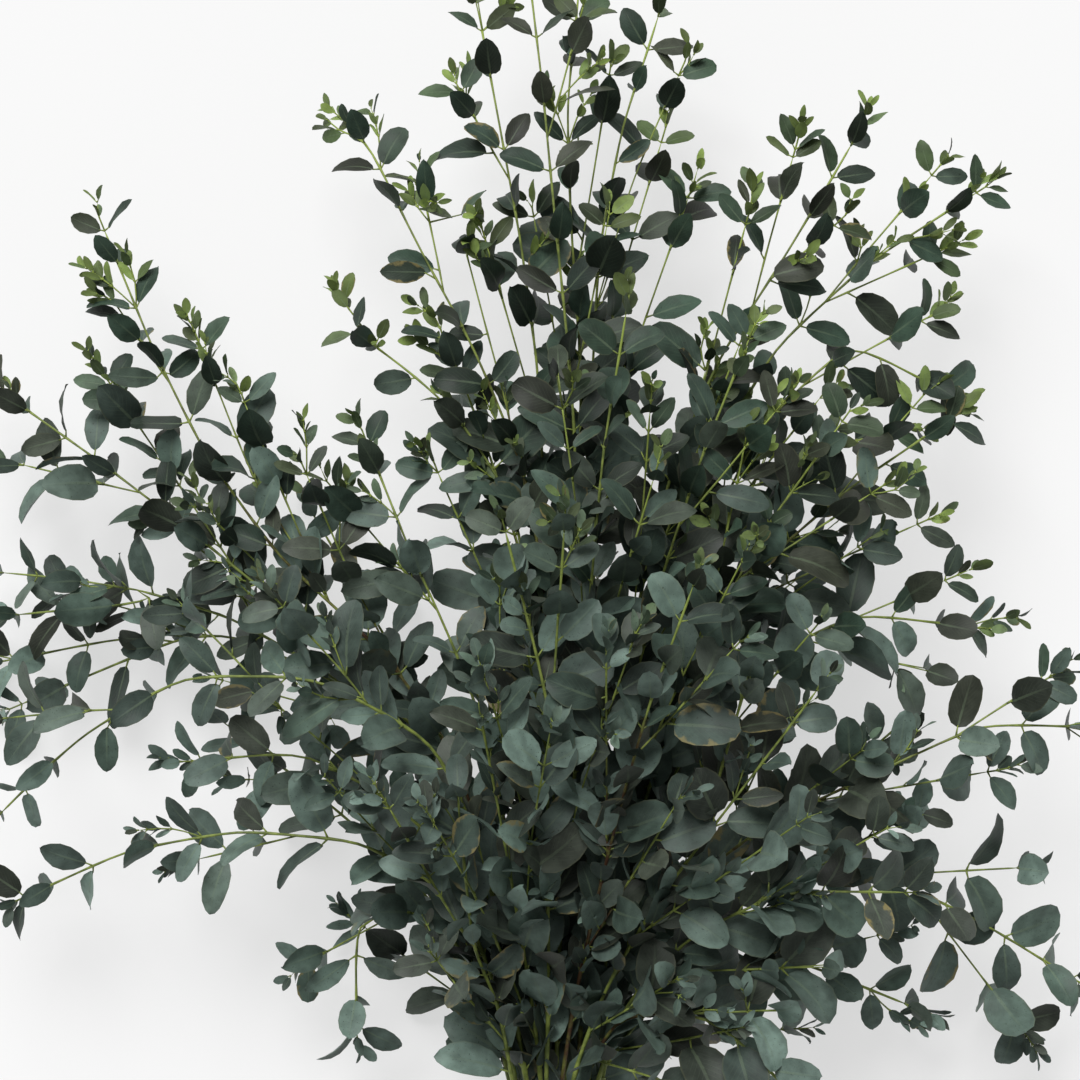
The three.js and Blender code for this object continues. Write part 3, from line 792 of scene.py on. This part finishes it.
def sweep(bm, curve, size_of, sides, values_of, cut_end):
    """A closed round tube along a curve, with a size and attributes for each of its places."""
    side = across_from(stem_direction(curve, 0), UP)
    was, ring = None, None
    first = len(bm.faces)
    for k, (co, _) in enumerate(curve):
        ahead = stem_direction(curve, k)
        side = across_from(ahead, side)
        here = turned(side, ahead, side.cross(ahead), co) @ Matrix.Scale(size_of(k), 4)
        if ring is None:
            flat = here @ Matrix.Rotation(radians(90), 4, "X")
            ring = bmesh.ops.create_circle(
                bm, cap_ends=True, segments=sides, radius=1, matrix=flat
            )["verts"]
            edges = edges_of(ring)
            cut = ring[0].link_faces[0]
        else:
            made = bmesh.ops.extrude_edge_only(bm, edges=edges)["geom"]
            ring = only(bmesh.types.BMVert, made)
            edges = [edge for edge in only(bmesh.types.BMEdge, made) if edge.is_boundary]
            bmesh.ops.transform(bm, matrix=here @ was.inverted(), verts=ring)
        was = here
        give(bm, ring, values_of(k))
    bmesh.ops.edgeloop_fill(bm, edges=edges)
    bm.faces.ensure_lookup_table()
    tube = bm.faces[first:]
    bmesh.ops.recalc_face_normals(bm, faces=tube)
    for face in tube:
        face.smooth = True
    cut.material_index = int(cut_end)
    cut.smooth = False


# ---------------------------------------------------------------- finishes
def linear(code):
    """A colour given as six hexadecimal digits, as Blender's linear values."""
    parts = [int(code[i : i + 2], 16) / 255 for i in (0, 2, 4)]
    return tuple(x / 12.92 if x < 0.04045 else ((x + 0.055) / 1.055) ** 2.4 for x in parts)


class Finish:
    """A material being put together from nodes."""

    def __init__(self, name, roughness, specular):
        self.material = bpy.data.materials.new(name)
        self.material.use_nodes = True
        self.tree = self.material.node_tree
        self.shader = self.tree.nodes["Principled BSDF"]
        self.shader.inputs["Roughness"].default_value = roughness
        self.shader.inputs["Specular IOR Level"].default_value = specular

    def node(self, kind):
        return self.tree.nodes.new("ShaderNode" + kind)

    def wire(self, value, socket):
        if isinstance(value, bpy.types.NodeSocket):
            self.tree.links.new(value, socket)
        elif socket.type == "RGBA" and len(value) == 3:
            socket.default_value = (*value, 1)
        else:
            socket.default_value = value

    def base(self, colour):
        self.wire(colour, self.shader.inputs["Base Color"])

    def value_of(self, name):
        node = self.node("Attribute")
        node.attribute_name = name
        return node.outputs["Fac"]

    def place(self):
        return self.node("TexCoord").outputs["Object"]

    def calc(self, operation, *values):
        node = self.node("Math")
        node.operation = operation
        for value, socket in zip(values, node.inputs):
            self.wire(value, socket)
        return node.outputs[0]

    def times(self, *values):
        return self.calc("MULTIPLY", *values)

    def add(self, *values):
        return self.calc("ADD", *values)

    def between(self, value, low, high, start=0.0, end=1.0):
        node = self.node("MapRange")
        node.interpolation_type = "SMOOTHSTEP"
        keys = ("Value", "From Min", "From Max", "To Min", "To Max")
        for key, item in zip(keys, (value, low, high, start, end)):
            self.wire(item, node.inputs[key])
        return node.outputs["Result"]

    def mix(self, share, first, second, blend="MIX"):
        node = self.node("Mix")
        node.data_type = "RGBA"
        node.blend_type = blend
        for place, item in ((0, share), (6, first), (7, second)):
            self.wire(item, node.inputs[place])
        return node.outputs[2]

    def noise(self, vector, scale, detail):
        node = self.node("TexNoise")
        self.wire(vector, node.inputs["Vector"])
        node.inputs["Scale"].default_value = scale
        node.inputs["Detail"].default_value = detail
        return node.outputs["Fac"]

    def bump(self, height, strength, distance):
        node = self.node("Bump")
        node.inputs["Strength"].default_value = strength
        node.inputs["Distance"].default_value = distance
        self.wire(height, node.inputs["Height"])
        self.wire(node.outputs["Normal"], self.shader.inputs["Normal"])


def leaf_finish():
    """Dull blue-green leaves with a pale rib, faint veins, specks and, on some, a scorched rim. A
    random share of them gets painted shade: a darker, duller green.
    """
    looks = bpy.context.scene.bunch_leaves
    f = Finish("leaf", 0.55, 0.3)
    uv = f.node("UVMap")
    uv.uv_map = "leaf"
    parts = f.node("SeparateXYZ")
    f.wire(uv.outputs["UV"], parts.inputs[0])
    u, v = parts.outputs[0], parts.outputs[1]
    off_rib = f.calc("ABSOLUTE", f.calc("SUBTRACT", u, 0.5))
    place = f.place()
    mottle = f.noise(place, 110, 3)
    fine = f.noise(place, 900, 2)
    youth, wax, tone, blemish = (f.value_of(name) for name in ATTRIBUTES)
    colour = f.mix(f.between(wax, 0.1, 0.95), looks.deep, looks.waxy)
    # Painted shade: a random share of the leaves is mixed towards a darker, duller green that
    # stands in for leaves seen in shade or from below.
    painted_shade_share = f.calc("FRACT", f.times(tone, 5.3))
    colour = f.mix(f.between(painted_shade_share, 0.55, 0.95, 0, 0.8), colour, looks.painted_shade_green)
    colour = f.mix(f.between(youth, 0.06, 0.7), colour, looks.young)
    shade = f.calc("MULTIPLY_ADD", tone, 1.05, 0.38)
    shade = f.times(shade, f.between(mottle, 0.3, 0.7, 0.77, 1.23))
    tint = f.node("CombineColor")
    for socket in tint.inputs:
        f.wire(shade, socket)
    colour = f.mix(1.0, colour, tint.outputs[0], "MULTIPLY")
    wave = f.calc("FRACT", f.times(f.calc("MULTIPLY_ADD", off_rib, -0.9, v), 9.0))
    vein = f.between(f.calc("ABSOLUTE", f.calc("SUBTRACT", wave, 0.5)), 0.07, 0.0)
    vein = f.times(vein, f.between(off_rib, 0.5, 0.2))
    colour = f.mix(f.times(vein, 0.16), colour, looks.rib)
    rib_width = f.calc("MULTIPLY_ADD", v, -0.03, 0.05)
    rib = f.between(f.calc("SUBTRACT", off_rib, rib_width), 0.012, -0.012)
    colour = f.mix(f.times(rib, f.between(v, 0, 1, 0.38, 0.06)), colour, looks.rib)
    rim = f.between(off_rib, 0.44, 0.5)
    colour = f.mix(f.times(rim, 0.28), colour, looks.rim)
    cloud = f.times(f.noise(place, 160, 3), 0.9)
    scorch = f.add(f.times(off_rib, 1.1), cloud)
    scorch = f.times(f.between(scorch, 0.86, 1.02), f.between(blemish, 0.3, 0.7))
    colour = f.mix(f.times(scorch, 0.8), colour, looks.scorch)
    colour = f.mix(f.times(f.between(fine, 0.65, 0.73), 0.65), colour, looks.speck)
    f.base(colour)
    f.wire(f.calc("MULTIPLY_ADD", mottle, 0.25, 0.42), f.shader.inputs["Roughness"])
    height = f.add(f.times(rib, -0.8), f.times(vein, -0.35))
    height = f.add(height, f.times(f.noise(place, 420, 3), 0.6))
    f.bump(height, 0.35, 0.25 * MM)
    return f.material


def stem_finish():
    """Yellow-green young bark that turns brown on the woody stems."""
    looks = bpy.context.scene.bunch_stems
    f = Finish("bark", 0.5, 0.35)
    place = f.place()
    streak = f.noise(place, 140, 3)
    fine = f.noise(place, 700, 3)
    colour = f.mix(f.between(streak, 0.35, 0.65), looks.green, looks.olive)
    colour = f.mix(f.between(f.value_of("youth"), 0.2, 1.0), colour, looks.tip)
    wood = f.add(f.value_of("woody"), f.calc("MULTIPLY_ADD", streak, 0.7, -0.35))
    colour = f.mix(f.between(wood, 0.35, 0.75), colour, looks.brown)
    colour = f.mix(f.between(fine, 0.62, 0.72, 0, 0.45), colour, looks.fleck)
    f.base(colour)
    f.bump(f.add(streak, f.times(fine, 0.5)), 0.4, 0.3 * MM)
    return f.material


def cut_finish():
    """The pale wood of the cut ends."""
    f = Finish("cut_wood", 0.75, 0.25)
    grain = f.noise(f.place(), 900, 3)
    f.base(f.mix(f.between(grain, 0.3, 0.7), linear("c9b98a"), linear("8f7f52")))
    f.bump(grain, 0.5, 0.2 * MM)
    return f.material


def rubber_finish():
    """Dull tan rubber with a little bloom."""
    looks = bpy.context.scene.bunch_tie
    f = Finish("rubber", 0.6, 0.4)
    place = f.place()
    cloud = f.noise(place, 60, 3)
    fine = f.noise(place, 1200, 2)
    darker = tuple(0.72 * x for x in looks.colour)
    colour = f.mix(f.between(cloud, 0.35, 0.65), looks.colour, darker)
    f.base(f.mix(f.between(fine, 0.62, 0.75, 0, 0.4), colour, linear("e8d6b4")))
    f.bump(f.add(cloud, fine), 0.3, 0.15 * MM)
    return f.material


def floor_finish():
    """Plain pale paper that glows a little."""
    looks = bpy.context.scene.bunch_stage
    f = Finish("paper", 0.9, 0.1)
    cloud = f.between(f.noise(f.place(), 3, 2), 0.3, 0.7)
    f.base(f.mix(cloud, looks.floor, tuple(0.985 * x for x in looks.floor)))
    f.shader.inputs["Emission Color"].default_value = (1, 1, 1, 1)
    f.shader.inputs["Emission Strength"].default_value = looks.glow
    return f.material


# ---------------------------------------------------------------- what a user may change
def setting(name, about, default, low=0.0, high=1000.0, **kind):
    return FloatProperty(name=name, description=about, default=default, min=low, max=high, **kind)


def distance(name, about, default):
    return setting(name, about, default, unit="LENGTH")


def portion(name, about, default):
    return setting(name, about, default, high=1.0, subtype="FACTOR")


def paint(name, about, code):
    return FloatVectorProperty(
        name=name, description=about, default=linear(code), subtype="COLOR", min=0, max=1
    )


class GrowthLooks(bpy.types.PropertyGroup):
    stripped: distance("Stripped length", "Stem left bare above the band", 0.055)
    pair_pitch: distance("Pair spacing", "Between the added pairs along a stem", 0.021)
    pair_gap: distance("Pair gap", "Least room from an added pair to the next", 0.011)
    filler_length: distance("Added leaf length", "Of the leaves between the main ones", 0.04)
    leaf_room: distance("Leaf room", "Least distance between two leaves' middles", 0.0075)
    sprig_share: portion("Side shoots", "Share of the leaves that have one in their axil", 0.17)
    sprig_length: distance("Side shoot length", "Of the longest small shoots", 0.034)
    sprig_leaf: distance("Side shoot leaf", "Length of the leaves on the small shoots", 0.018)


class StemLooks(bpy.types.PropertyGroup):
    fullness: setting("Fullness", "Stem radius over its CAD section's", 0.63, 0.3, 1.0)
    fullness_low: setting("Fullness low down", "The same inside the band", 0.86, 0.3, 1.0)
    knot: setting("Knots", "How much a stem swells where leaves leave it", 1.28, 1.0, 2.0)
    stalk: distance("Stalk radius", "Of a leaf stalk at its foot", 0.0008)
    green: paint("Green bark", "Main colour of the stems", "879549")
    olive: paint("Olive bark", "Darker streaks of the stems", "5f6c35")
    tip: paint("Young bark", "Colour of the tips", "94a64c")
    brown: paint("Woody bark", "Colour of the woody stems", "4e3626")
    fleck: paint("Flecks", "Small spots on the bark", "3c3a24")


class LeafLooks(bpy.types.PropertyGroup):
    stalk_share: portion("Stalk share", "Share of a leaf's length that its stalk takes", 0.12)
    deep: paint("Deep green", "Leaves at the top of the bunch", "304236")
    waxy: paint("Waxy blue-green", "Leaves with a full bloom of wax", "687b72")
    # Painted shade: the darker, duller green that some leaves are given in place of shade.
    painted_shade_green: paint("Dusky green", "The duller leaves", "36362c")
    young: paint("Young green", "Leaves at the tips", "768a46")
    rib: paint("Rib", "Middle rib and veins", "74856a")
    rim: paint("Rim", "Thin edge of the leaf", "66684a")
    scorch: paint("Scorched rim", "Blotches on old leaves", "857a4e")
    speck: paint("Specks", "Tiny dark spots", "1c221b")


class TieLooks(bpy.types.PropertyGroup):
    turns: IntProperty(
        name="Turns", description="Times the band goes round", default=4, min=1, max=8
    )
    colour: paint("Rubber", "Colour of the band", "b58a58")


class StageLooks(bpy.types.PropertyGroup):
    floor: paint("Floor", "Colour of the floor", "a0a0a0")
    height: distance("Camera height", "Of the camera over the floor", 2.6)
    seen: distance("Width in view", "Across the picture at the middle of the bunch", 0.648)
    sun: setting("Soft light", "Strength of the overhead light", 3.0)
    sky: setting("Fill light", "Strength of the light from all round", 0.28)
    glow: portion("Floor glow", "Light the floor gives, which pales its shadows", 0.6)


# ---------------------------------------------------------------- the pieces
THICK_ABOVE_TIE = 150 * MM  # the stems thin to their usual fullness over this length
TIGHTER = 1 * MM  # the band is pulled in to the round stems
STEM_SIDES, SPRIG_SIDES = 7, 4
TIP_SIZE = 0.35  # of a stem's last section
WOODY_SHARE = 0.25  # of the branches
YOUNG_END = 120 * MM  # of a stem, over which its bark gets young
INTO_BLADE = 0.03  # of a leaf's length that its stalk runs on under it
SHORTEST_STALK = 0.5 * MM
BAND_TILTS = tuple(radians(angle) for angle in (-1.6, 1.2, -0.8, 1.8))
FLOOR_SIZE = 6  # metres from the middle to each side
FLOOR_DROP = 1.5 * MM  # clear of the lowest leaves
SUN_SPREAD = radians(36)
SUN_TURN = (radians(-38), radians(-16), 0)
CAMERA_SHIFT = (1.3 * MM, 50.8 * MM)  # from over the middle of the CAD box
MIDDLE_HEIGHT = 100 * MM  # where the width in view is measured


class GrowStems(bpy.types.Operator):
    """Round stems, side shoots and leaf stalks of every branch"""

    bl_idname = "bunch.grow_stems"
    bl_label = "Stems"

    def execute(self, context):
        looks = context.scene.bunch_stems
        stalk_share = context.scene.bunch_leaves.stalk_share
        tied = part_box(TIE_NODE)[1].y
        stalk, bark, cut = stalk_shape(), stem_finish(), cut_finish()
        for branch in bunch():
            rng = random.Random("stems of " + branch.name)
            is_woody = rng.random() < WOODY_SHARE
            woody = rng.uniform(0.3, 0.9) if is_woody else rng.uniform(0, 0.1)
            bm = grown_on("youth", "woody")
            for stem in branch.stems + branch.sprigs:
                knots = {leaf.place for leaf in branch.leaves if leaf.stem is stem}
                count = len(stem.curve)

                def radius(k):
                    co, size = stem.curve[k]
                    low_down = 1 - rise_over(co.y, tied, tied + THICK_ABOVE_TIE)
                    size *= looks.fullness + low_down * (looks.fullness_low - looks.fullness)
                    return size * (TIP_SIZE if k == count - 1 else looks.knot if k in knots else 1)

                def values(k):
                    young = 1 - rise_over((count - k) * STEM_STEP, 0, YOUNG_END)
                    sun = light_share(stem.curve[k][0])
                    wood = woody * (1 - 0.7 * sun) * (1 - young)
                    return {"youth": young * (0.4 + 0.6 * sun), "woody": wood}

                sides = SPRIG_SIDES if stem in branch.sprigs else STEM_SIDES
                sweep(bm, stem.curve, radius, sides, values, not stem.is_shoot)
            for leaf in branch.leaves:
                end = leaf.base + (stalk_share + INTO_BLADE) * leaf.length * leaf.direction
                reach = end - leaf.root
                if reach.length < SHORTEST_STALK:
                    continue
                direction = reach.normalized()
                side = across_from(direction, leaf.direction.cross(leaf.normal))
                size = looks.stalk * (0.55 + 0.45 * leaf.length / (40 * MM))
                matrix = turned(side, direction, side.cross(direction), leaf.root)
                matrix = matrix @ Matrix.Diagonal((size, reach.length, size, 1))
                put(bm, stalk, matrix, {"youth": clamp(0.3 + leaf.youth), "woody": 0.0})
            piece_from(bm, branch.name + "_stems", [branch.name], "stem", bark, cut)
        return {"FINISHED"}


class GrowLeaves(bpy.types.Operator):
    """Curved leaves of every branch"""

    bl_idname = "bunch.grow_leaves"
    bl_label = "Leaves"

    def execute(self, context):
        stalk_share = context.scene.bunch_leaves.stalk_share
        shapes, finish = leaf_shapes(), leaf_finish()
        for branch in bunch():
            rng = random.Random("blades of " + branch.name)
            bm = grown_on("across", "along", *ATTRIBUTES)
            bm.loops.layers.uv.new("leaf")
            for leaf in branch.leaves:
                slimness = leaf.width / leaf.length
                kind = next(kind for kind, least in KINDS if slimness > least)
                shape = rng.choice(shapes[kind, leaf.length > LARGE_FROM])
                foot = leaf.base + stalk_share * leaf.length * leaf.direction
                reach = (1 - stalk_share) * leaf.length
                side = leaf.direction.cross(leaf.normal)
                size = Matrix.Diagonal((leaf.width * rng.uniform(0.96, 1.06), reach, reach, 1))
                matrix = turned(side, leaf.direction, leaf.normal, foot) @ size
                put(bm, shape, matrix, {name: getattr(leaf, name) for name in ATTRIBUTES})
            piece_from(bm, branch.name + "_leaves", [branch.name], "leaf", finish)
        return {"FINISHED"}


class WindTie(bpy.types.Operator):
    """The rubber band wound round the stems"""

    bl_idname = "bunch.wind_tie"
    bl_label = "Rubber band"

    def execute(self, context):
        looks = context.scene.bunch_tie
        low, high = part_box(TIE_NODE)
        centre, size = (low + high) / 2, high - low
        strand = size.y / looks.turns / 2
        bm = bmesh.new()
        on_its_side = Matrix.Rotation(radians(90), 3, "Y")
        forward = Matrix.Rotation(radians(90), 3, "Z")
        for turn in range(looks.turns):
            known = set(bm.verts)
            ring = bmesh.ops.create_circle(bm, segments=10, radius=strand)["verts"]
            along = low.y + (2 * turn + 1) * strand - centre.y
            inset = TIGHTER + strand * (0.95 + 0.25 * (turn % 2))
            place = Vector((0, along, size.z / 2 - inset))
            bmesh.ops.rotate(bm, verts=ring, cent=(0, 0, 0), matrix=on_its_side)
            bmesh.ops.translate(bm, verts=ring, vec=place)
            bmesh.ops.rotate(bm, verts=ring, cent=place, matrix=forward)
            round_y = {"cent": (0, 0, 0), "axis": (0, 1, 0), "angle": 2 * math.pi}
            bmesh.ops.spin(bm, geom=ring + edges_of(ring), steps=64, use_merge=True, **round_y)
            loop = [vert for vert in bm.verts if vert not in known]
            tilt = Matrix.Rotation(BAND_TILTS[turn % len(BAND_TILTS)], 3, "Z")
            bmesh.ops.rotate(bm, verts=loop, cent=(0, along, 0), matrix=tilt)
        bmesh.ops.scale(bm, verts=bm.verts, vec=(size.x / size.z, 1, 1))
        bmesh.ops.translate(bm, verts=bm.verts, vec=centre)
        bmesh.ops.remove_doubles(bm, verts=bm.verts, dist=1e-6)
        bmesh.ops.recalc_face_normals(bm, faces=bm.faces)
        for face in bm.faces:
            face.smooth = True
        piece_from(bm, "rubber_band", [TIE_NODE], "tie", rubber_finish())
        return {"FINISHED"}


class SetStage(bpy.types.Operator):
    """Pale floor, soft light and the camera overhead"""

    bl_idname = "bunch.set_stage"
    bl_label = "Stage"

    def execute(self, context):
        scene = context.scene
        looks = scene.bunch_stage
        low, high = CAD_BOX
        bm = bmesh.new()
        bmesh.ops.create_grid(bm, x_segments=1, y_segments=1, size=FLOOR_SIZE)
        bmesh.ops.translate(bm, verts=bm.verts, vec=(0, 0, -FLOOR_DROP))
        object_from(bm, "floor", floor_finish())

        world = bpy.data.worlds.new("studio")
        world.use_nodes = True
        backdrop = world.node_tree.nodes["Background"]
        backdrop.inputs["Color"].default_value = (1, 1, 1, 1)
        backdrop.inputs["Strength"].default_value = looks.sky
        scene.world = world
        lamp = bpy.data.lights.new("overhead", "SUN")
        lamp.energy = looks.sun
        lamp.angle = SUN_SPREAD
        overhead = bpy.data.objects.new("overhead", lamp)
        overhead.rotation_euler = SUN_TURN
        scene.collection.objects.link(overhead)

        lens = bpy.data.cameras.new("camera")
        camera = bpy.data.objects.new("camera", lens)
        middle = (low + high) / 2
        across, up = CAMERA_SHIFT
        camera.location = (middle.x + across, middle.y + up, looks.height)
        lens.sensor_width = 36
        lens.lens = lens.sensor_width * (looks.height - MIDDLE_HEIGHT) / looks.seen
        lens.clip_end = 50
        scene.collection.objects.link(camera)
        scene.camera = camera
        scene.view_settings.view_transform = "Standard"
        return {"FINISHED"}


class BunchPanel(bpy.types.Panel):
    """The pieces of the bunch, and what may be changed on each"""

    bl_idname = "VIEW3D_PT_bunch"
    bl_label = "Bunch of eucalyptus"
    bl_space_type = "VIEW_3D"
    bl_region_type = "UI"
    bl_category = "Bunch"

    def draw(self, context):
        for group, operator in GROUPS.values():
            looks = getattr(context.scene, "bunch_" + group)
            box = self.layout.box()
            for name in looks.bl_rna.properties.keys():
                if name not in ("rna_type", "name"):
                    box.prop(looks, name)
            if operator:
                box.operator(operator.bl_idname)


GROUPS = {
    GrowthLooks: ("growth", None),
    StemLooks: ("stems", GrowStems),
    LeafLooks: ("leaves", GrowLeaves),
    TieLooks: ("tie", WindTie),
    StageLooks: ("stage", SetStage),
}
CLASSES = (*GROUPS, GrowStems, GrowLeaves, WindTie, SetStage, BunchPanel)


def register():
    for cls in CLASSES:
        bpy.utils.register_class(cls)
    for looks, (group, _) in GROUPS.items():
        setattr(bpy.types.Scene, "bunch_" + group, PointerProperty(type=looks))


def unregister():
    for group, _ in GROUPS.values():
        delattr(bpy.types.Scene, "bunch_" + group)
    for cls in reversed(CLASSES):
        bpy.utils.unregister_class(cls)


def main():
    register()
    bpy.ops.bunch.grow_stems()
    bpy.ops.bunch.grow_leaves()
    bpy.ops.bunch.wind_tie()
    bpy.ops.bunch.set_stage()


if __name__ == "__main__":
    main()
